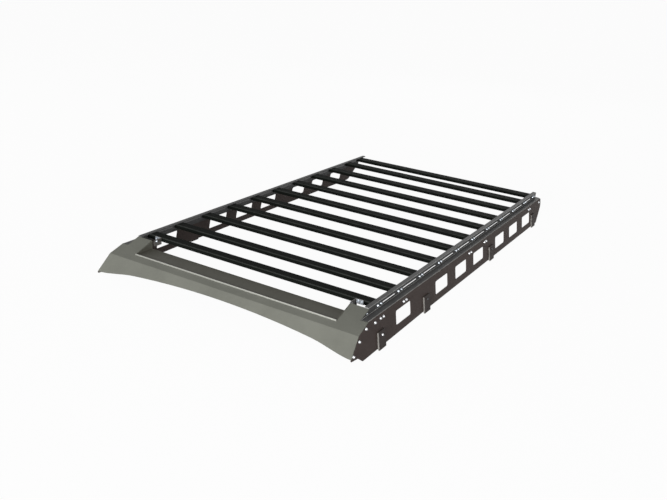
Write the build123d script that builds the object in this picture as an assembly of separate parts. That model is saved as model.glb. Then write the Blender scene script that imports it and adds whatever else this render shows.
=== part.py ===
"""Expedition roof rack: cross slats between two side rails, flared side plates on feet,
and a folded wind deflector with a recess for a light bar across the front.

Millimetres. X runs across the rack, Y to its rear and Z up; the origin is on the floor
below the middle. A station is a distance behind the nose of the deflector, and a drop is
a distance below the top of the rails."""
import math
import os

from build123d import *

# Overall sizes
LENGTH = 2293.0              # nose of the deflector to the rear end of the rails
RAIL_HALF_WIDTH = 595.0      # middle line to the outer face of a rail's wall

# Side rail, one extruded section along each side
RAIL_THICK = 4.0
STRIP_WIDTH = 20.0           # top strip that covers the slat ends
LEDGE_DROP = 28.0
LEDGE_WIDTH = 28.4           # wall to the outer face of the hanging flange
FLANGE_DEPTH = 32.0
RAIL_CORNER = 1.6            # outer radius of the section's bends
RAIL_ROOT = 1.0              # inner radius of the two lower bends
LEDGE_CORNER = 12.0          # rounded rear corner of the ledge
WALL_SLOT_HEIGHT = 8.0
WALL_SLOT_DROP = 17.0
WALL_SLOT_MARGIN = 7.0       # slat to the end of a slot

# Side plates, bolted outside the hanging flanges
FLARE = 9.0                  # degrees that the plates lean out
PLATE_THICK = 3.0
PLATE_TOP_GAP = 0.5          # ledge to the plate's upper edge
PLATE_DROP_REAR = 154.4
PLATE_DROP_FRONT = 160.5
NOSE_STATION = 84.0          # where the lower edge ends below the nose
NOSE_CORNER = 7.0
NOSE_NOTCH_STATION = 50.0
NOSE_NOTCH_DROP = 136.0
NOSE_NOTCH_RADIUS = 22.0
TIP_STATION = 2.5
TIP_DROP = 131.0
TAIL_DROP = 72.0             # where the rear edge starts to sweep forward
TAIL_SWEEP = 90.0
TAIL_RADIUS = 36.0
TAIL_TOP_RADIUS = 10.0
WINDOW_LENGTH = 135.0
WINDOW_HEIGHT = 61.5
WINDOW_DROP = 93.0           # middle of the window row
WINDOW_CORNER = 9.0
WINDOW_MARGINS = ((104.0, 121.0), (73.0, 75.0), (39.0, 24.0))   # feet to windows in each bay
WINDOW_GAP = 60.0            # least gap between two windows of a bay

# Cross slats, hollow extrusions with a channel below
SLAT_WIDTH = 49.0
SLAT_HEIGHT = 20.0
SLAT_WALL = 2.2
SLAT_TOP_RADIUS = 5.0
SLAT_FOOT_RADIUS = 1.5
CHANNEL_WIDTH = 14.0
CHANNEL_HEIGHT = 7.0
CHANNEL_MOUTH = 8.5
CHANNEL_LIP = 2.5
CELL_RADIUS = 2.5
FIRST_SLAT_STATION = 282.6
FRONT_PITCH = 178.9
SLAT_PITCH = 202.2
REAR_PITCH = 100.0           # least pitch ahead of the last slat
LAST_SLAT_INSET = 58.1       # last slat to the rear end of the rails

# Wind deflector, one folded sheet
DEFLECTOR_THICK = 2.5
DEFLECTOR_BEND = 1.5
FOLD_DROP = 54.0
FRONT_RUN = 63.5             # nose to the fold, measured level
FRONT_FALL = 68.5            # fold to the lower corners
UPPER_SLOPE = 19.6           # degrees
WING_WIDTH = 81.0            # rail's outer face to the recess
WING_REAR_DROP = 4.5
WING_GAP = 0.5               # wing's rear edge to the rail's strip
RECESS_RUN = 33.0            # fold to the front edge of the recess
ARCH_DEPTH = 39.5            # fold to the lower edge at the middle, down the face
ARCH_RADIUS = 4400.0
ARCH_SHOULDER = 145.0        # rail's outer face to the end of the flat arch
ARCH_FOOT_INSET = 10.0
ARCH_FOOT_DEPTH = 87.0
SIDE_FLANGE_WIDTH = 26.0

# Light bar tray behind the deflector's upper face
TRAY_THICK = 2.5
TRAY_GAP = 1.0               # deflector's edge to the tray
TRAY_END_GAP = 1.5
TRAY_FRONT_FLANGE = 24.0
TRAY_REAR_FLANGE = 14.0
CHEEK_STEP = 1.0             # wing's upper face to the cheek's edge
TRIM_HEIGHT = 5.0
TRIM_THICK = 3.0
TRIM_REBATE = 1.0            # depth that the trim is let into the tray

# Light bar brackets on the front slat
BRACKET_THICK = 3.0
BRACKET_INSET = 9.0          # recess end to the inner face of the web
BRACKET_REACH = 50.6         # slat to the nose of the web
BRACKET_LEG = 36.0
BRACKET_TOP_DROP = 4.0
BRACKET_BOTTOM_DROP = 34.0
BRACKET_NOSE = 13.0
BRACKET_BEND = 1.0
BRACKET_HOLE_INSET = 14.5    # nose to the light bar's bolt
BRACKET_HOLE_DROP = 11.0
LEG_BOLT_INSET = 12.0        # web's inner face to the first bolt
LEG_BOLT_SPACING = 16.0

# Feet, flat bars outside the plates
FOOT_THICK = 6.0
FOOT_LENGTH = 58.0
FOOT_HEIGHT = 74.0
FOOT_CORNER = 6.0
FOOT_BOLT_RISE = 56.0        # sole to the bolt
FRONT_FOOT_STATIONS = (205.0, 623.0, 1414.0)
REAR_FOOT_INSET = 188.0      # front edge of the last foot to the rear end of the rails
FOOT_REACHES = (7.0, 8.0, 6.2, 6.2)      # sole below the plate's lower edge

# Bolt holes
BOLT_HOLE = 6.6
SLAT_BOLT_SPACING = 25.0
RAIL_BOLT_SPACING = 24.0
RAIL_BOLT_DROP = 45.0
FRONT_PAIR_STATIONS = (246.0, 447.0, 1157.0, 1361.0)
REAR_PAIR_INSET = 224.0      # last pair to the rear end of the rails
END_BOLT_INSET = 40.0
WALL_BOLT = (186.0, 18.5)    # station and drop, below the wing
NOSE_BOLTS = ((64.0, 76.0), (16.0, 116.0))
SHOULDER_BOLTS = ((119.0, 46.0), (190.0, 47.0))

FOOT_STATIONS = [*FRONT_FOOT_STATIONS, LENGTH - REAR_FOOT_INSET]
LEVEL_FROM = FOOT_STATIONS[1] + FOOT_LENGTH


def plate_edge_drop(station):
    """Drop of the side plate's lower edge, which falls a little ahead of the second feet."""
    along = (LEVEL_FROM - station) / (LEVEL_FROM - NOSE_STATION)
    return PLATE_DROP_REAR + max(along, 0.0) * (PLATE_DROP_FRONT - PLATE_DROP_REAR)


SOLE_DROPS = [plate_edge_drop(s) + reach for s, reach in zip(FOOT_STATIONS, FOOT_REACHES)]
RAIL_TOP = max(SOLE_DROPS)

SIN_FLARE = math.sin(math.radians(FLARE))
COS_FLARE = math.cos(math.radians(FLARE))
TAN_UPPER = math.tan(math.radians(UPPER_SLOPE))
FLANGE_FACE = RAIL_HALF_WIDTH + LEDGE_WIDTH
PLATE_FACE = FLANGE_FACE + PLATE_THICK / COS_FLARE
WING_REAR_STATION = FRONT_RUN + (FOLD_DROP - WING_REAR_DROP) / TAN_UPPER
RECESS_HALF_WIDTH = RAIL_HALF_WIDTH - WING_WIDTH
RECESS_STATION = FRONT_RUN + RECESS_RUN
RECESS_DROP = FOLD_DROP - RECESS_RUN * TAN_UPPER
TRIM_STATION = RECESS_STATION + TRAY_GAP
SLAT_TOP_DROP = RAIL_THICK
FAR = 400.0                  # reach of cutting tools past the part


def slat_stations():
    """Middles of the slats: an even row between a front slat and one near the rear end."""
    second = FIRST_SLAT_STATION + FRONT_PITCH
    last = LENGTH - LAST_SLAT_INSET
    count = math.floor((last - REAR_PITCH - second) / SLAT_PITCH) + 1
    return [FIRST_SLAT_STATION, *[second + SLAT_PITCH * i for i in range(count)], last]


def window_stations():
    """Front edges of the windows: each bay between two feet has as many as it has room for."""
    stations = []
    for front, rear, (lead, trail) in zip(FOOT_STATIONS, FOOT_STATIONS[1:], WINDOW_MARGINS):
        first = front + FOOT_LENGTH + lead
        room = rear - trail - first
        count = max(1, math.floor((room + WINDOW_GAP) / (WINDOW_LENGTH + WINDOW_GAP)))
        spare = room - WINDOW_LENGTH
        if count == 1:
            stations.append(first + spare / 2)
        else:
            stations += [first + spare * i / (count - 1) for i in range(count)]
    return stations


SLAT_STATIONS = slat_stations()


def y_at(station):
    return station - LENGTH / 2


def z_at(drop):
    return RAIL_TOP - drop


def plate_x(drop):
    """Outer face of a side plate at a drop."""
    return PLATE_FACE + (drop - LEDGE_DROP) * math.tan(math.radians(FLARE))


def offset_line(points, distance):
    """The line that lies a distance to the right of a polyline."""
    points = [Vector(p) for p in points]
    runs = [(b - a).normalized() for a, b in zip(points, points[1:])]
    rights = [Vector(run.Y, -run.X) for run in runs]
    moved = [points[0] + rights[0] * distance]
    for point, before, after in zip(points[1:-1], rights, rights[1:]):
        moved.append(point + (before + after) * (distance / (1 + before.dot(after))))
    moved.append(points[-1] + rights[-1] * distance)
    return [(p.X, p.Y) for p in moved]


def folded_section(points, thick, inside, outside):
    """Section of a bent strip: points run along one face, the other lies to the right.

    Each bend has a radius on its inside and one on its outside."""
    vectors = [Vector(p) for p in points]
    near, far = [], []
    for a, b, c, small, large in zip(vectors, vectors[1:], vectors[2:], inside, outside):
        left_turn = (b - a).cross(c - b).Z > 0
        near.append(small if left_turn else large)
        far.append(large if left_turn else small)
    outline = [*points, *reversed(offset_line(points, thick))]
    return make_face(FilletPolyline(*outline, radius=[0, *near, 0, 0, *reversed(far), 0], close=True))


def along_y(section, first, last):
    """Extrude a section drawn in X and Z between two stations."""
    return extrude(Plane.XZ.offset(-y_at(first)) * section, amount=first - last)


def across(section, low, high):
    """Extrude a section drawn in Y and Z between two X positions."""
    return extrude(Plane.YZ.offset(low) * section, amount=high - low)


def plate_plane(depth=0.0):
    """Plane on the right plate's outer face, or a depth inside it; its x runs along Y."""
    normal = Vector(COS_FLARE, 0, SIN_FLARE)
    corner = Vector(PLATE_FACE, 0, z_at(LEDGE_DROP))
    return Plane(corner - normal * depth, x_dir=(0, 1, 0), z_dir=normal)


def on_plate(station, drop):
    """A point of the plate in the plane's own coordinates."""
    return (y_at(station), (LEDGE_DROP - drop) / COS_FLARE)


def plate_holes(spots, diameter, depth):
    """Round tools square to the plate, reaching a depth in from its outer face."""
    tools = Sketch() + [Pos(*on_plate(*spot)) * Circle(diameter / 2) for spot in spots]
    return extrude(plate_plane(depth) * tools, amount=depth + 2 * FOOT_THICK)


# Folded line of the deflector, nose to wing, drawn in Y and Z
NOSE = (y_at(0), z_at(FOLD_DROP + FRONT_FALL))
FOLD = (y_at(FRONT_RUN), z_at(FOLD_DROP))
WING_REAR = (y_at(WING_REAR_STATION), z_at(WING_REAR_DROP))
UNDERSIDE = offset_line([NOSE, FOLD, WING_REAR], DEFLECTOR_THICK)


def beyond(start, end, distance):
    """The point a distance past end on the line from start."""
    run = (Vector(end) - Vector(start)).normalized()
    return (end[0] + run.X * distance, end[1] + run.Y * distance)


def ahead_of_deflector():
    """Everything above and ahead of the deflector's underside, to trim what meets it."""
    low = beyond(UNDERSIDE[1], UNDERSIDE[0], FAR)
    rear = beyond(UNDERSIDE[1], UNDERSIDE[2], WING_GAP)
    high = rear[1] + FAR
    outline = [low, UNDERSIDE[1], rear, (rear[0], high), (low[0], high)]
    section = make_face(FilletPolyline(*outline, radius=[0, DEFLECTOR_BEND, 0, 0, 0], close=True))
    return across(section, 0, PLATE_FACE + FAR)


def side_rail():
    """Right rail: top strip, slotted wall, ledge and hanging flange in one section."""
    flange_drop = LEDGE_DROP + FLANGE_DEPTH * COS_FLARE
    flange_end = (FLANGE_FACE + FLANGE_DEPTH * SIN_FLARE, z_at(flange_drop))
    line = [
        (RAIL_HALF_WIDTH - STRIP_WIDTH, z_at(0)),
        (RAIL_HALF_WIDTH, z_at(0)),
        (RAIL_HALF_WIDTH, z_at(LEDGE_DROP)),
        (FLANGE_FACE, z_at(LEDGE_DROP)),
        flange_end,
    ]
    section = folded_section(line, RAIL_THICK, [0, RAIL_ROOT, RAIL_ROOT], [RAIL_CORNER] * 3)
    rail = along_y(section, 0, LENGTH)
    rail -= ahead_of_deflector()

    level = z_at(LEDGE_DROP)
    corner = Pos(PLATE_FACE, y_at(LENGTH), level) * Box(2 * LEDGE_CORNER, 2 * LEDGE_CORNER, FAR)
    middle = (FLANGE_FACE - LEDGE_CORNER, y_at(LENGTH) - LEDGE_CORNER, level)
    corner -= Pos(*middle) * Cylinder(LEDGE_CORNER, FAR)
    corner = split(corner, Plane.XY.offset(level - LEDGE_CORNER), keep=Keep.TOP)
    rail -= split(corner, Plane.YZ.offset(FLANGE_FACE - LEDGE_CORNER), keep=Keep.TOP)

    slots = Sketch()
    for front, rear in zip(SLAT_STATIONS, SLAT_STATIONS[1:]):
        length = rear - front - SLAT_WIDTH - 2 * WALL_SLOT_MARGIN
        middle = (y_at((front + rear) / 2), z_at(WALL_SLOT_DROP))
        slots += Pos(*middle) * SlotOverall(length, WALL_SLOT_HEIGHT)
    for station in SLAT_STATIONS:
        for side in (-1, 1):
            spot = y_at(station) + side * SLAT_BOLT_SPACING / 2
            slots += Pos(spot, z_at(SLAT_TOP_DROP + SLAT_HEIGHT / 2)) * Circle(BOLT_HOLE / 2)
    slots += Pos(y_at(WALL_BOLT[0]), z_at(WALL_BOLT[1])) * Circle(BOLT_HOLE / 2)
    rail -= across(slots, RAIL_HALF_WIDTH - 2 * RAIL_THICK, RAIL_HALF_WIDTH + RAIL_THICK)
    return rail - plate_holes(rail_bolt_spots(), BOLT_HOLE, PLATE_THICK + 2 * RAIL_THICK)


def rail_bolt_spots():
    """Places of the bolts through a plate and the rail's flange behind it."""
    pairs = [
        (station + side * RAIL_BOLT_SPACING / 2, RAIL_BOLT_DROP)
        for station in (*FRONT_PAIR_STATIONS, LENGTH - REAR_PAIR_INSET)
        for side in (-1, 1)
    ]
    return [*pairs, *SHOULDER_BOLTS, (LENGTH - END_BOLT_INSET, RAIL_BOLT_DROP)]


def foot_bolt(station, sole_drop):
    return (station + FOOT_LENGTH / 2, sole_drop - FOOT_BOLT_RISE)


def side_plate():
    """Right side plate: flared sheet with a row of windows, notched under the nose."""
    top = LEDGE_DROP + PLATE_TOP_GAP
    corners = [
        (0.0, top, 0),
        (LENGTH, top, TAIL_TOP_RADIUS),
        (LENGTH, TAIL_DROP, TAIL_RADIUS),
        (LENGTH - TAIL_SWEEP, PLATE_DROP_REAR, TAIL_RADIUS),
        (LEVEL_FROM, PLATE_DROP_REAR, 0),
        (NOSE_STATION, PLATE_DROP_FRONT, NOSE_CORNER),
        (NOSE_NOTCH_STATION, NOSE_NOTCH_DROP, NOSE_NOTCH_RADIUS),
        (TIP_STATION, TIP_DROP, 0),
        (0.0, TIP_DROP - DEFLECTOR_THICK, 0),
    ]
    points = [on_plate(station, drop) for station, drop, _ in corners]
    radii = [radius for _, _, radius in corners]
    sheet = make_face(FilletPolyline(*points, radius=radii, close=True))
    for station in window_stations():
        middle = on_plate(station + WINDOW_LENGTH / 2, WINDOW_DROP)
        sheet -= Pos(*middle) * RectangleRounded(WINDOW_LENGTH, WINDOW_HEIGHT, WINDOW_CORNER)
    plate = extrude(plate_plane(PLATE_THICK) * sheet, amount=PLATE_THICK)
    plate -= ahead_of_deflector()
    foot_bolts = [foot_bolt(station, sole) for station, sole in zip(FOOT_STATIONS, SOLE_DROPS)]
    bolts = [*rail_bolt_spots(), *NOSE_BOLTS, *foot_bolts]
    return plate - plate_holes(bolts, BOLT_HOLE, 2 * PLATE_THICK)


def slat(station):
    """Cross slat: rounded hollow extrusion with a channel in its underside."""
    half, height = SLAT_WIDTH / 2, SLAT_HEIGHT
    corners = [(-half, 0), (half, 0), (half, height), (-half, height)]
    radii = [SLAT_FOOT_RADIUS, SLAT_FOOT_RADIUS, SLAT_TOP_RADIUS, SLAT_TOP_RADIUS]
    section = make_face(FilletPolyline(*corners, radius=radii, close=True))
    section -= Pos(0, CHANNEL_LIP + CHANNEL_HEIGHT / 2) * Rectangle(CHANNEL_WIDTH, CHANNEL_HEIGHT)
    section -= Rectangle(CHANNEL_MOUTH, 2 * CHANNEL_LIP + CHANNEL_HEIGHT)
    cell_inner = CHANNEL_WIDTH / 2 + SLAT_WALL
    cell_width = half - SLAT_WALL - cell_inner
    cell = RectangleRounded(cell_width, height - 2 * SLAT_WALL, min(CELL_RADIUS, cell_width / 3))
    for side in (-1, 1):
        section -= Pos(side * (cell_inner + cell_width / 2), height / 2) * cell
    reach = RAIL_HALF_WIDTH - RAIL_THICK
    place = Pos(y_at(station), z_at(SLAT_TOP_DROP + SLAT_HEIGHT))
    return across(place * section, -reach, reach)


def wind_deflector():
    """Folded sheet from wing to wing, arched below and cut out for a light bar."""
    bend = DEFLECTOR_BEND
    section = folded_section([NOSE, FOLD, WING_REAR], DEFLECTOR_THICK, [bend], [bend + DEFLECTOR_THICK])
    sheet = across(section, -PLATE_FACE - FAR, PLATE_FACE + FAR)

    # The sheet ends at the outline of the rails and plates, and covers their front ends
    low_drop = FOLD_DROP + FRONT_FALL + FAR / 2
    half = [
        (RAIL_HALF_WIDTH, z_at(-FAR)),
        (RAIL_HALF_WIDTH, z_at(LEDGE_DROP)),
        (PLATE_FACE, z_at(LEDGE_DROP)),
        (plate_x(low_drop), z_at(low_drop)),
    ]
    outline = make_face(Polyline(*half, *[(-x, z) for x, z in reversed(half)], close=True))
    sheet &= along_y(outline, -FAR, FAR)

    recess = Pos(0, y_at(RECESS_STATION) + FAR / 2, z_at(0)) * Box(2 * RECESS_HALF_WIDTH, FAR, FAR)
    sheet -= recess
    sheet -= arch_cutter()
    flange = side_flange()
    return sheet + flange + mirror(flange, about=Plane.YZ)


def arch_cutter():
    """Cuts the front face's lower edge to a flat arch that flares down at both ends."""
    run = Vector(0, NOSE[0] - FOLD[0], NOSE[1] - FOLD[1]).normalized()
    face = Plane((0, *FOLD), x_dir=(1, 0, 0), z_dir=Vector(1, 0, 0).cross(-run))
    reach = RAIL_HALF_WIDTH - ARCH_SHOULDER
    rise = math.sqrt(ARCH_RADIUS**2 - reach**2)
    crown_end = ARCH_DEPTH + ARCH_RADIUS - rise
    crown = ThreePointArc((-reach, -crown_end), (0, -ARCH_DEPTH), (reach, -crown_end))
    slope = reach / rise
    foot_end = (RAIL_HALF_WIDTH - ARCH_FOOT_INSET, -ARCH_FOOT_DEPTH)
    corner_depth = math.hypot(FRONT_RUN, FRONT_FALL)
    corner = (plate_x(FOLD_DROP + FRONT_FALL) + DEFLECTOR_THICK, -corner_depth)
    ends = [(1, -slope), (1, -slope / 4)]
    right = Spline((reach, -crown_end), foot_end, corner, tangents=ends)
    left = mirror(right, about=Plane.YZ)
    low = -corner_depth - FAR / 4
    below = Polyline(corner, (corner[0], low), (-corner[0], low), (-corner[0], -corner_depth))
    return extrude(face * make_face([crown, right, left, below]), amount=3 * DEFLECTOR_THICK, both=True)


def side_flange():
    """Right side flange of the deflector, turned back along the inside of the plate."""
    top_drop = LEDGE_DROP + FLANGE_DEPTH + PLATE_THICK
    depth_end = math.hypot(FRONT_RUN, FRONT_FALL) - PLATE_THICK
    edge = offset_line([NOSE, FOLD], DEFLECTOR_THICK / 2)
    inner = offset_line([NOSE, FOLD], SIDE_FLANGE_WIDTH)
    band = make_face(Polyline(edge[0], edge[1], inner[1], inner[0], close=True))
    solid = across(band, 0, PLATE_FACE + FAR)
    level = Plane.XY.offset(z_at(top_drop))
    solid = split(solid, level, keep=Keep.BOTTOM)
    low = Plane.XY.offset(z_at(FOLD_DROP + FRONT_FALL * depth_end / math.hypot(FRONT_RUN, FRONT_FALL)))
    solid = split(solid, low, keep=Keep.TOP)
    sheet = Rectangle(2 * LENGTH, 2 * FAR)
    slab = extrude(plate_plane(PLATE_THICK + DEFLECTOR_THICK) * sheet, amount=DEFLECTOR_THICK)
    return (solid & slab) - plate_holes(NOSE_BOLTS, BOLT_HOLE, PLATE_THICK + 2 * DEFLECTOR_THICK)


def yz_face(outline):
    """Face from stations and drops, drawn in Y and Z."""
    return make_face(Polyline(*[(y_at(station), z_at(drop)) for station, drop in outline], close=True))


def light_bar_tray():
    """Level shelf behind the deflector's upper face, closed by a cheek at each end."""
    flange_front = TRIM_STATION - TRAY_FRONT_FLANGE
    under = DEFLECTOR_THICK / math.cos(math.radians(UPPER_SLOPE))
    floor = RECESS_DROP
    lower = floor + TRAY_THICK
    rear = WING_REAR_STATION
    meet = FRONT_RUN + (FOLD_DROP + 2 * under - lower) / TAN_UPPER
    front_drop = FOLD_DROP - (flange_front - FRONT_RUN) * TAN_UPPER + under
    cheek_front = TRIM_STATION + TRIM_THICK
    shelf = yz_face([
        (flange_front, front_drop),
        (TRIM_STATION, front_drop - TRAY_FRONT_FLANGE * TAN_UPPER),
        (TRIM_STATION, floor + TRIM_REBATE),
        (cheek_front, floor + TRIM_REBATE),
        (cheek_front, floor),
        (rear, floor),
        (rear, floor + TRAY_REAR_FLANGE),
        (rear - TRAY_THICK, floor + TRAY_REAR_FLANGE),
        (rear - TRAY_THICK, lower),
        (meet, lower),
        (flange_front, front_drop + under),
    ])
    reach = RECESS_HALF_WIDTH - TRAY_END_GAP
    tray = across(shelf, -reach, reach)
    wing_drop = FOLD_DROP - (cheek_front - FRONT_RUN) * TAN_UPPER
    cheek = across(yz_face([
        (cheek_front, lower),
        (rear, lower),
        (rear, WING_REAR_DROP + CHEEK_STEP),
        (cheek_front, wing_drop + CHEEK_STEP),
    ]), reach - TRAY_THICK, reach)
    return tray + cheek + mirror(cheek, about=Plane.YZ)


def tray_trim():
    """Bare strip that stands in a rebate along the front edge of the tray."""
    strip = yz_face([
        (TRIM_STATION, RECESS_DROP + TRIM_REBATE),
        (TRIM_STATION, RECESS_DROP - TRIM_HEIGHT),
        (TRIM_STATION + TRIM_THICK, RECESS_DROP - TRIM_HEIGHT),
        (TRIM_STATION + TRIM_THICK, RECESS_DROP + TRIM_REBATE),
    ])
    reach = RECESS_HALF_WIDTH - TRAY_END_GAP
    return across(strip, -reach, reach)


def light_bar_bracket():
    """Right bracket: a leg on the front slat and a round-nosed web ahead of it."""
    slat_face = FIRST_SLAT_STATION - SLAT_WIDTH / 2
    front, rear = y_at(slat_face - BRACKET_REACH), y_at(slat_face)
    inner = RECESS_HALF_WIDTH - BRACKET_INSET
    outer = inner + BRACKET_LEG
    line = [(inner, front), (inner, rear), (outer, rear)]
    section = folded_section(line, BRACKET_THICK, [BRACKET_BEND], [BRACKET_BEND + BRACKET_THICK])
    height = BRACKET_BOTTOM_DROP - BRACKET_TOP_DROP
    bracket = extrude(Plane.XY.offset(z_at(BRACKET_BOTTOM_DROP)) * section, amount=height)

    # The web has a round nose, and the leg is no deeper than the slat
    top, bottom = z_at(BRACKET_TOP_DROP), z_at(BRACKET_BOTTOM_DROP)
    corners = [(front, bottom), (front, top), (rear, top), (rear, bottom)]
    web = FilletPolyline(*corners, radius=[BRACKET_NOSE, BRACKET_NOSE, 0, 0], close=True)
    bracket &= across(make_face(web), inner - BRACKET_THICK, outer + BRACKET_THICK)
    slat_bottom = z_at(SLAT_TOP_DROP + SLAT_HEIGHT)
    spare = Box(2 * (BRACKET_LEG - 2 * BRACKET_THICK), 4 * BRACKET_THICK, FAR)
    bracket -= Pos(outer, rear, slat_bottom - FAR / 2) * spare

    bolt = Circle(BOLT_HOLE / 2)
    spot = (front + BRACKET_HOLE_INSET, z_at(BRACKET_HOLE_DROP))
    bracket -= across(Pos(*spot) * bolt, inner - BRACKET_THICK, inner + 2 * BRACKET_THICK)
    bolts = Sketch()
    for x in (inner + LEG_BOLT_INSET, inner + LEG_BOLT_INSET + LEG_BOLT_SPACING):
        bolts += Pos(x, z_at(SLAT_TOP_DROP + SLAT_HEIGHT / 2)) * bolt
    return bracket - along_y(bolts, slat_face - 2 * BRACKET_THICK, slat_face + BRACKET_THICK)


def foot(station, sole_drop):
    """Right foot: a flat bar on the plate's outside, cut level at its sole."""
    top, low = sole_drop - FOOT_HEIGHT, sole_drop + FOOT_THICK
    ends = (station, station + FOOT_LENGTH)
    corners = [on_plate(*spot) for spot in ((ends[0], low), (ends[0], top), (ends[1], top), (ends[1], low))]
    sheet = make_face(FilletPolyline(*corners, radius=[0, FOOT_CORNER, FOOT_CORNER, 0], close=True))
    bar = extrude(plate_plane() * sheet, amount=FOOT_THICK)
    bar = split(bar, Plane.XY.offset(z_at(sole_drop)), keep=Keep.TOP)
    return bar - plate_holes([foot_bolt(station, sole_drop)], BOLT_HOLE, PLATE_THICK)


def both_sides(name, shape):
    export_step(shape, f"parts/right_{name}.step")
    export_step(mirror(shape, about=Plane.YZ), f"parts/left_{name}.step")


os.makedirs("parts", exist_ok=True)
both_sides("side_rail", side_rail())
both_sides("side_plate", side_plate())
both_sides("light_bar_bracket", light_bar_bracket())
for number, (station, sole_drop) in enumerate(zip(FOOT_STATIONS, SOLE_DROPS), start=1):
    both_sides(f"foot_{number}", foot(station, sole_drop))
for number, station in enumerate(SLAT_STATIONS, start=1):
    export_step(slat(station), f"parts/slat_{number:02d}.step")
export_step(wind_deflector(), "parts/wind_deflector.step")
export_step(light_bar_tray(), "parts/light_bar_tray.step")
export_step(tray_trim(), "parts/tray_trim.step")
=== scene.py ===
"""Looks of the expedition roof rack: coats for the solids, and the bolts and washers.

Metres, in the part's own frame. A station is a distance behind the deflector's nose and a
drop a distance below the top of the rails, both in millimetres."""
import math

import bmesh
import bpy
from mathutils import Matrix, Vector


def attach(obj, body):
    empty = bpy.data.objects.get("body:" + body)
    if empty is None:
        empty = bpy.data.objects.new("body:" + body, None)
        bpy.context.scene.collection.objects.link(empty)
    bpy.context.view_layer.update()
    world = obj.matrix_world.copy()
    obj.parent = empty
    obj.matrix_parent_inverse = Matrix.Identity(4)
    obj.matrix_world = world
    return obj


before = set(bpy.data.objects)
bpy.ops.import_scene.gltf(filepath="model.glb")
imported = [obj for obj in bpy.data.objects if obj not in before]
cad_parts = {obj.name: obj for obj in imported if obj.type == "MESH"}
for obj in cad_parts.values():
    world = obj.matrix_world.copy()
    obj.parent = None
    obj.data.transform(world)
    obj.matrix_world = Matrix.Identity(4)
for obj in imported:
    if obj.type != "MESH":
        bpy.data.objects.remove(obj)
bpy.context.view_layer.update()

# Sizes that the part's source also has, in millimetres
LENGTH = 2293.0
RAIL_TOP = 166.264
RAIL_FACE = 595.0
RAIL_THICK = 4.0
LEDGE_DROP = 28.0
LEDGE_WIDTH = 28.4
FLARE = math.radians(9.0)
PLATE_THICK = 3.0
PLATE_FACE = RAIL_FACE + LEDGE_WIDTH + PLATE_THICK / math.cos(FLARE)
FOOT_THICK = 6.0
DEFLECTOR_THICK = 2.5
SLAT_STATIONS = [282.6, *[461.5 + 202.2 * i for i in range(9)], 2234.9]
SLAT_BOLT_SPACING = 25.0
SLAT_BOLT_DROP = 14.0
RAIL_BOLT_STATIONS = (246.0, 447.0, 1157.0, 1361.0, 2069.0)
RAIL_BOLT_SPACING = 24.0
RAIL_BOLT_DROP = 45.0
NOSE_BOLTS = ((64.0, 76.0), (16.0, 116.0))
END_BOLTS = ((119.0, 46.0), (190.0, 47.0), (2253.0, 45.0))
WALL_BOLT = (186.0, 18.5)
FOOT_BOLTS = ((234.0, 110.3), (652.0, 107.0), (1443.0, 104.6), (2134.0, 104.6))
BRACKET_FACE = 505.0
BRACKET_THICK = 3.0
BRACKET_BOLT = (222.0, 11.0)
LEG_BOLTS = (517.0, 533.0)
LEG_STATION = 255.1

# Fasteners, in millimetres
SEGMENTS = 24
SOFT_EDGE = 0.25
SHANK_RADIUS = 3.0
SHANK_CHAMFER = 0.5
SHANK_INSET = 0.3
HEAD_RADIUS = 5.0
HEAD_HEIGHT = 5.6
HEAD_CHAMFER = 0.2
HEAD_RIM = 0.5
DOME_TURNS = (0, 18, 36, 54)
DOME_TOP = math.radians(62)
DOME_FULLNESS = 0.93
SOCKET_APOTHEM = 2.0
SOCKET_DEPTH = 2.2
SOCKET_RIM_RADIUS = 2.6
SOCKET_CHAMFER = 0.15
WALL_BOLT_SCALE = 0.6
WASHER_RADIUS = 6.0
WASHER_THICK = 1.8
WASHER_PLAY = 0.1
STRAP_LENGTH = 31.0
STRAP_HEIGHT = 18.0
STRAP_BEVEL = 0.4

SIDES = {"right": 1, "left": -1}
MM = 0.001


def point(x, station, drop):
    """A place in the frame, from millimetres."""
    return Vector((x, station - LENGTH / 2, RAIL_TOP - drop)) * MM


def facing(place, axis):
    """Matrix that puts a fastener's own z along an axis at a place."""
    turn = Vector(axis).to_track_quat("Z", "Y").to_matrix().to_4x4()
    return Matrix.Translation(place) @ turn


def on_plate(side, station, drop, outward=0.0):
    """A fastener's matrix on a side plate's outer face, or further out."""
    x = PLATE_FACE + (drop - LEDGE_DROP) * math.tan(FLARE)
    normal = Vector((side * math.cos(FLARE), 0, math.sin(FLARE)))
    return facing(point(side * x, station, drop) + normal * outward * MM, normal)


def linear(red, green, blue):
    """Linear colour of an 8-bit screen colour."""
    def one(value):
        value /= 255
        return value / 12.92 if value <= 0.04045 else ((value + 0.055) / 1.055) ** 2.4
    return (one(red), one(green), one(blue), 1.0)


# Mesh helpers
def hexagon(apothem):
    """Radius of a hexagon at each angle."""
    sixth = math.radians(60)
    return lambda angle: apothem / math.cos(angle % sixth - sixth / 2)


def lathe(mesh, place, rings, closed):
    """Sweep rings of (radius, height) about z; a radius is a number or a function of angle.

    A closed row of rings joins its last ring to its first; an open one ends in two caps."""
    rows = []
    for radius, height in rings:
        row = []
        for step in range(SEGMENTS):
            angle = math.tau * step / SEGMENTS
            reach = radius(angle) if callable(radius) else radius
            spot = Vector((reach * math.cos(angle), reach * math.sin(angle), height)) * MM
            row.append(mesh.verts.new(place @ spot))
        rows.append(row)
    pairs = list(zip(rows, rows[1:]))
    if closed:
        pairs.append((rows[-1], rows[0]))
    else:
        mesh.faces.new(list(reversed(rows[0])))
        mesh.faces.new(rows[-1])
    for low, high in pairs:
        for step in range(SEGMENTS):
            after = (step + 1) % SEGMENTS
            mesh.faces.new((low[step], low[after], high[after], high[step]))


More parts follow.
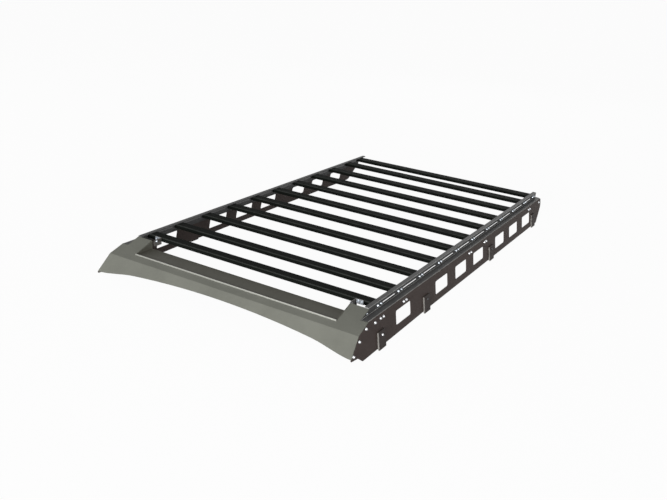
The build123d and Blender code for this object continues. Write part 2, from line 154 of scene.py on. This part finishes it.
def add_bolt(mesh, place, shank, seat=0.0):
    """Button-head bolt with a hexagon socket; its seat is a height above the place."""
    socket = hexagon(SOCKET_APOTHEM)
    top = seat + HEAD_HEIGHT
    rings = [
        (SHANK_RADIUS - SHANK_CHAMFER, -shank),
        (SHANK_RADIUS, SHANK_CHAMFER - shank),
        (SHANK_RADIUS, seat),
        (HEAD_RADIUS - HEAD_CHAMFER, seat),
        (HEAD_RADIUS, seat + SOFT_EDGE),
    ]
    for turn in DOME_TURNS:
        angle = math.radians(turn)
        rise = HEAD_RIM + (HEAD_HEIGHT - HEAD_RIM) * math.sin(angle) / math.sin(DOME_TOP)
        rings.append((HEAD_RADIUS * math.cos(angle * DOME_FULLNESS), seat + rise))
    rings.append((SOCKET_RIM_RADIUS, top))
    rings.append((socket, top - SOCKET_CHAMFER))
    rings.append((socket, top - SOCKET_DEPTH))
    lathe(mesh, place, rings, closed=False)


def add_washer(mesh, place):
    """Flat washer with softened edges, lying on the place."""
    inner = SHANK_RADIUS + WASHER_PLAY
    outer = WASHER_RADIUS
    top = WASHER_THICK
    rings = [
        (inner, 0.0),
        (outer - SOFT_EDGE, 0.0),
        (outer, SOFT_EDGE),
        (outer, top - SOFT_EDGE),
        (outer - SOFT_EDGE, top),
        (inner, top),
    ]
    lathe(mesh, place, rings, closed=True)


def add_strap(mesh, side):
    """Plated strap under the heads of the two bolts on a bracket's leg."""
    middle = point(side * sum(LEG_BOLTS) / 2, LEG_STATION - WASHER_THICK / 2, SLAT_BOLT_DROP)
    size = Matrix.Diagonal((STRAP_LENGTH * MM, WASHER_THICK * MM, STRAP_HEIGHT * MM, 1.0))
    made = bmesh.ops.create_cube(mesh, size=1.0, matrix=Matrix.Translation(middle) @ size)
    edges = dict.fromkeys(edge for vert in made["verts"] for edge in vert.link_edges)
    bmesh.ops.bevel(mesh, geom=list(edges), offset=STRAP_BEVEL * MM, segments=2, affect="EDGES")


def piece(name, mesh, material):
    """Make an object of a mesh, smooth but for its sharp edges, riding on the rack."""
    bmesh.ops.recalc_face_normals(mesh, faces=mesh.faces)
    data = bpy.data.meshes.new(name)
    mesh.to_mesh(data)
    mesh.free()
    data.shade_smooth()
    data.set_sharp_from_angle(angle=math.radians(32))
    data.materials.append(material)
    thing = bpy.data.objects.new(name, data)
    bpy.context.scene.collection.objects.link(thing)
    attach(thing, "root")


# Materials
class Nodes:
    """A material's node tree, built one node at a time."""

    def __init__(self, name):
        self.material = bpy.data.materials.new(name)
        self.material.use_nodes = True
        self.tree = self.material.node_tree
        self.shader = self.tree.nodes["Principled BSDF"]
        self.where = self.add("ShaderNodeTexCoord").outputs["Object"]

    def add(self, kind, **values):
        node = self.tree.nodes.new(kind)
        for key, value in values.items():
            setattr(node, key, value)
        return node

    def link(self, source, target):
        self.tree.links.new(source, target)

    def noise(self, scale, detail=2.0, roughness=0.5):
        node = self.add("ShaderNodeTexNoise")
        node.inputs["Scale"].default_value = scale
        node.inputs["Detail"].default_value = detail
        node.inputs["Roughness"].default_value = roughness
        self.link(self.where, node.inputs["Vector"])
        return node.outputs["Fac"]

    def span(self, source, low, high, to_low, to_high):
        node = self.add("ShaderNodeMapRange")
        for index, value in enumerate((low, high, to_low, to_high), start=1):
            node.inputs[index].default_value = value
        self.link(source, node.inputs[0])
        return node.outputs[0]

    def math(self, operation, *values):
        node = self.add("ShaderNodeMath", operation=operation)
        for index, value in enumerate(values):
            if isinstance(value, float):
                node.inputs[index].default_value = value
            else:
                self.link(value, node.inputs[index])
        return node.outputs[0]

    def mix(self, factor, first, second):
        node = self.add("ShaderNodeMix", data_type="RGBA")
        self.link(factor, node.inputs["Factor"])
        for socket, value in zip((node.inputs[6], node.inputs[7]), (first, second)):
            if isinstance(value, tuple):
                socket.default_value = value
            else:
                self.link(value, socket)
        return node.outputs[2]

    def bump(self, height, strength, distance):
        node = self.add("ShaderNodeBump")
        node.inputs["Strength"].default_value = strength
        node.inputs["Distance"].default_value = distance
        self.link(height, node.inputs["Height"])
        self.link(node.outputs["Normal"], self.shader.inputs["Normal"])


def tinted(colour, factor):
    """A colour made lighter or darker by a factor."""
    return tuple(min(channel * factor, 1.0) for channel in colour[:3]) + (1.0,)


def rounded_edges(nodes, normal, axis):
    """Mask of the rounded edges between what faces up and what faces along an axis."""
    sideways = nodes.math("ABSOLUTE", normal.outputs[axis])
    slanted = nodes.math("MULTIPLY", sideways, normal.outputs["Z"])
    return nodes.span(slanted, 0.08, 0.3, 0.0, 1.0)


def cut_edges(nodes, normal, axis):
    """Mask of the sheet's cut edges, which face along an axis."""
    sideways = nodes.math("ABSOLUTE", normal.outputs[axis])
    return nodes.span(sideways, 0.85, 0.97, 0.0, 1.0)


DUST = linear(150, 147, 138)


def powder_coat(name, colour, roughness, specular, dust, edge_highlight=None):
    """Powder coat: pebbled skin, cloudy shade and gloss, and dust on what faces up.

    The last argument is a mask for edges, its axis and a lighter colour there: a painted highlight
    on these edges."""
    nodes = Nodes(name)
    cloud = nodes.span(nodes.noise(5.0, 4.0, 0.6), 0.3, 0.7, 0.0, 1.0)
    shade = nodes.mix(cloud, tinted(colour, 0.9), tinted(colour, 1.1))
    speck = nodes.span(nodes.noise(420.0, 3.0, 0.65), 0.55, 0.8, 0.0, 0.5)
    shade = nodes.mix(speck, shade, tinted(colour, 1.6))

    normal = nodes.add("ShaderNodeSeparateXYZ")
    nodes.link(nodes.add("ShaderNodeNewGeometry").outputs["Normal"], normal.inputs[0])
    upward = nodes.span(normal.outputs["Z"], 0.2, 1.0, 0.0, dust)
    patches = nodes.span(nodes.noise(18.0, 5.0, 0.7), 0.3, 0.75, 0.35, 1.0)
    shade = nodes.mix(nodes.math("MULTIPLY", upward, patches), shade, DUST)
    if edge_highlight:
        # Painted highlight: the lighter colour goes on the masked edges, in patches.
        mask, axis, highlight_colour = edge_highlight
        highlight_share = nodes.math("MULTIPLY", mask(nodes, normal, axis), patches)
        shade = nodes.mix(highlight_share, shade, highlight_colour)
    nodes.link(shade, nodes.shader.inputs["Base Color"])

    gloss = nodes.math("MULTIPLY", nodes.noise(60.0, 3.0, 0.6), 0.16)
    nodes.link(nodes.math("ADD", gloss, roughness - 0.08), nodes.shader.inputs["Roughness"])
    nodes.shader.inputs["Specular IOR Level"].default_value = specular
    nodes.bump(nodes.noise(700.0, 2.0, 0.5), 0.25, 0.0002)
    return nodes.material


def plated(name, colour, roughness):
    """Plated steel: bright metal with faint blotches and fine wear."""
    nodes = Nodes(name)
    blotch = nodes.span(nodes.noise(260.0, 4.0, 0.6), 0.3, 0.7, 0.0, 1.0)
    shade = nodes.mix(blotch, tinted(colour, 0.8), colour)
    nodes.link(shade, nodes.shader.inputs["Base Color"])
    gloss = nodes.math("MULTIPLY", nodes.noise(900.0, 3.0, 0.6), 0.2)
    nodes.link(nodes.math("ADD", gloss, roughness - 0.1), nodes.shader.inputs["Roughness"])
    nodes.shader.inputs["Metallic"].default_value = 1.0
    nodes.bump(nodes.noise(1500.0, 3.0, 0.6), 0.25, 0.0001)
    return nodes.material


DEFLECTOR_COAT = powder_coat("deflector_coat", linear(106, 107, 100), 0.5, 0.04, 0.02)
# The tray's coat is a darker copy of the deflector coat: painted shade of the recess.
SHADED_TRAY_COAT = powder_coat("tray_coat", linear(88, 87, 79), 0.5, 0.12, 0.01)
# The edge colours below are painted highlights: on the rail's and slats' rounded edges, the
# plates' up- and down-facing cut edges, and the feet's front edges.
RAIL_COAT = powder_coat(
    "rail_coat", linear(87, 87, 87), 0.34, 0.03, 0.02, (rounded_edges, "X", linear(205, 205, 202)))
PLATE_COAT = powder_coat(
    "plate_coat", linear(73, 64, 61), 0.45, 0.035, 0.0, (cut_edges, "Z", linear(140, 137, 133)))
SLAT_COAT = powder_coat(
    "slat_coat", linear(18, 20, 18), 0.55, 0.01, 0.0, (rounded_edges, "Y", linear(54, 56, 54)))
FOOT_COAT = powder_coat(
    "foot_coat", linear(68, 62, 60), 0.45, 0.035, 0.0, (cut_edges, "Y", linear(158, 156, 151)))
BRACKET_COAT = powder_coat("bracket_coat", linear(80, 77, 74), 0.4, 0.3, 0.01)
TRIM_METAL = plated("trim_metal", linear(212, 212, 205), 0.42)
ZINC = plated("zinc_plate", linear(232, 234, 236), 0.34)
DULL_ZINC = plated("dull_zinc", linear(206, 212, 218), 0.42)
DARK_PLATE = plated("dark_plate", linear(84, 84, 85), 0.5)

COATS = {
    "side_rail": RAIL_COAT, "side_plate": PLATE_COAT, "bracket": BRACKET_COAT, "foot": FOOT_COAT,
    "slat": SLAT_COAT, "deflector": DEFLECTOR_COAT, "tray_trim": TRIM_METAL, "tray": SHADED_TRAY_COAT,
}


def coat_of(node):
    """The first coat whose word the node's name has."""
    for word, coat in COATS.items():
        if word in node:
            return coat
    raise KeyError(node)


for node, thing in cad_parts.items():
    for slot in thing.material_slots:
        slot.material = coat_of(node)

# Bolts, joined by what they hold on each side
for word, side in SIDES.items():
    mesh = bmesh.new()
    pairs = [
        (station + end * RAIL_BOLT_SPACING / 2, RAIL_BOLT_DROP)
        for station in RAIL_BOLT_STATIONS
        for end in (-1, 1)
    ]
    for spots, grip in (((*pairs, *END_BOLTS), PLATE_THICK + RAIL_THICK),
                        (NOSE_BOLTS, PLATE_THICK + DEFLECTOR_THICK)):
        for spot in spots:
            place = on_plate(side, *spot)
            add_washer(mesh, place)
            add_bolt(mesh, place, grip - SHANK_INSET, WASHER_THICK)
    piece(f"{word}_plate_bolts", mesh, ZINC)

    grip = FOOT_THICK + PLATE_THICK
    for name, spots, metal in (("front_foot_bolt", FOOT_BOLTS[:1], ZINC),
                               ("foot_bolts", FOOT_BOLTS[1:], DARK_PLATE)):
        mesh = bmesh.new()
        for spot in spots:
            add_bolt(mesh, on_plate(side, *spot, FOOT_THICK), grip - SHANK_INSET)
        piece(f"{word}_{name}", mesh, metal)

    mesh = bmesh.new()
    spots = [
        (station + end * SLAT_BOLT_SPACING / 2, SLAT_BOLT_DROP)
        for station in SLAT_STATIONS
        for end in (-1, 1)
    ]
    for spot in spots:
        place = facing(point(side * RAIL_FACE, *spot), (side, 0, 0))
        add_washer(mesh, place)
        add_bolt(mesh, place, RAIL_THICK - SHANK_INSET, WASHER_THICK)
    place = facing(point(side * RAIL_FACE, *WALL_BOLT), (side, 0, 0))
    add_bolt(mesh, place @ Matrix.Scale(WALL_BOLT_SCALE, 4), RAIL_THICK)
    piece(f"{word}_slat_bolts", mesh, DULL_ZINC)

    mesh = bmesh.new()
    place = facing(point(side * BRACKET_FACE, *BRACKET_BOLT), (-side, 0, 0))
    add_bolt(mesh, place, BRACKET_THICK - SHANK_INSET)
    for x in LEG_BOLTS:
        place = facing(point(side * x, LEG_STATION, SLAT_BOLT_DROP), (0, -1, 0))
        add_bolt(mesh, place, BRACKET_THICK - SHANK_INSET, WASHER_THICK)
    add_strap(mesh, side)
    piece(f"{word}_bracket_bolts", mesh, DULL_ZINC)

# Floor and backdrop
FLOOR_SIZE = 400.0
WHITE_SHARE = 0.96


def white_to_view(tree, lit):
    """Mix white into a shader for the rays that see the background."""
    rays = tree.nodes.new("ShaderNodeLightPath")
    seen = rays.outputs["Is Camera Ray"]
    for other in ("Is Glossy Ray", "Is Transmission Ray"):
        most = tree.nodes.new("ShaderNodeMath")
        most.operation = "MAXIMUM"
        tree.links.new(seen, most.inputs[0])
        tree.links.new(rays.outputs[other], most.inputs[1])
        seen = most.outputs[0]
    part = tree.nodes.new("ShaderNodeMath")
    part.operation = "MULTIPLY"
    part.inputs[1].default_value = WHITE_SHARE
    tree.links.new(seen, part.inputs[0])
    white = tree.nodes.new("ShaderNodeEmission")
    blend = tree.nodes.new("ShaderNodeMixShader")
    tree.links.new(part.outputs[0], blend.inputs[0])
    tree.links.new(lit, blend.inputs[1])
    tree.links.new(white.outputs[0], blend.inputs[2])
    return blend.outputs[0]


floor_material = bpy.data.materials.new("pale_floor")
floor_material.use_nodes = True
tree = floor_material.node_tree
tree.nodes.remove(tree.nodes["Principled BSDF"])
matt = tree.nodes.new("ShaderNodeBsdfDiffuse")
matt.inputs["Color"].default_value = (0.8, 0.8, 0.8, 1.0)
shown = white_to_view(tree, matt.outputs[0])
tree.links.new(shown, tree.nodes["Material Output"].inputs["Surface"])
mesh = bmesh.new()
bmesh.ops.create_grid(mesh, x_segments=1, y_segments=1, size=FLOOR_SIZE / 2)
floor_data = bpy.data.meshes.new("floor")
mesh.to_mesh(floor_data)
mesh.free()
floor_data.materials.append(floor_material)
floor = bpy.data.objects.new("floor", floor_data)
bpy.context.scene.collection.objects.link(floor)

world = bpy.data.worlds.new("studio")
bpy.context.scene.world = world
world.use_nodes = True
tree = world.node_tree
ambient = tree.nodes["Background"]
ambient.inputs["Color"].default_value = (1.0, 1.0, 1.0, 1.0)
ambient.inputs["Strength"].default_value = 0.2
shown = white_to_view(tree, ambient.outputs[0])
tree.links.new(shown, tree.nodes["World Output"].inputs["Surface"])


LAMP_AIM = Vector((0, 0, 0.1))


def soft_box(name, place, size, power):
    """Square area lamp at a place, turned to the rack."""
    lamp = bpy.data.lights.new(name, "AREA")
    lamp.size = size
    lamp.energy = power
    thing = bpy.data.objects.new(name, lamp)
    bpy.context.scene.collection.objects.link(thing)
    turn = (LAMP_AIM - Vector(place)).to_track_quat("-Z", "Y")
    thing.matrix_world = Matrix.Translation(place) @ turn.to_matrix().to_4x4()


soft_box("key_box", (1.1, -8.6, 1.45), 2.6, 860.0)
for word, side in SIDES.items():
    soft_box(f"{word}_box", (side * 6.5, -1.5, 1.6), 2.0, 70.0)
soft_box("back_box", (-1.5, 5.6, 2.7), 2.4, 30.0)

# Camera at the photograph's viewpoint
lens = bpy.data.cameras.new("camera")
lens.lens = 42.24
lens.sensor_width = 36.0
lens.sensor_fit = "HORIZONTAL"
camera = bpy.data.objects.new("camera", lens)
bpy.context.scene.collection.objects.link(camera)
RIGHT = Vector((0.8546, 0.5144, 0.0716))
UP = Vector((-0.2408, 0.2703, 0.9322))
BACK = Vector((0.4601, -0.8139, 0.3549))
turn = Matrix((RIGHT, UP, BACK)).transposed().to_4x4()
camera.matrix_world = Matrix.Translation((1.7965, -3.3812, 1.4201)) @ turn
bpy.context.scene.camera = camera

bpy.context.scene.view_settings.view_transform = "Standard"
